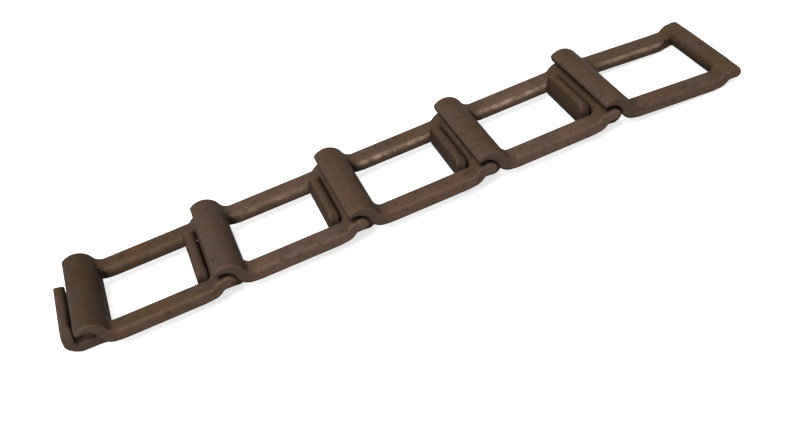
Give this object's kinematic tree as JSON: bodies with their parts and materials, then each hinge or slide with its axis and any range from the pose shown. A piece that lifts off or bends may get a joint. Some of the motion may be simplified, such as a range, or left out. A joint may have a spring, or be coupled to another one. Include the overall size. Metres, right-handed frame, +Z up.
{
  "type": "detachable link chain",
  "caption": "Length of pressed-steel detachable conveyor chain: open links, each hooked over the end bar of the next, with no pins.",
  "frame": {"origin": "centre of the bounding box on the surface that the chain lies on", "axes": "+X along the chain, from the free hook to the free end bar; +Y across the links, along the hinge axes; +Z up"},
  "size_m": [0.2214, 0.0368, 0.0136],
  "materials": {
    "link_steel": "dull brown oxide, tumbled edges"
  },
  "bodies": {
    "link_1": {"link_1": "link_steel"},
    "link_2": {"link_2": "link_steel"},
    "link_3": {"link_3": "link_steel"},
    "link_4": {"link_4": "link_steel"},
    "link_5": {"link_5": "link_steel"}
  },
  "joints": [
    {"name": "hinge_1", "type": "hinge", "parent": "link_1", "child": "link_2", "pos_m": [-0.06055, 0, 0.00675], "axis": [0, 1, 0], "range_deg": [-45, 60]},
    {"name": "hinge_2", "type": "hinge", "parent": "link_2", "child": "link_3", "pos_m": [-0.01855, 0, 0.00675], "axis": [0, 1, 0], "range_deg": [-45, 60]},
    {"name": "hinge_3", "type": "hinge", "parent": "link_3", "child": "link_4", "pos_m": [0.02345, 0, 0.00675], "axis": [0, 1, 0], "range_deg": [-45, 60]},
    {"name": "hinge_4", "type": "hinge", "parent": "link_4", "child": "link_5", "pos_m": [0.06545, 0, 0.00675], "axis": [0, 1, 0], "range_deg": [-49.5, 55.4]}
  ]
}
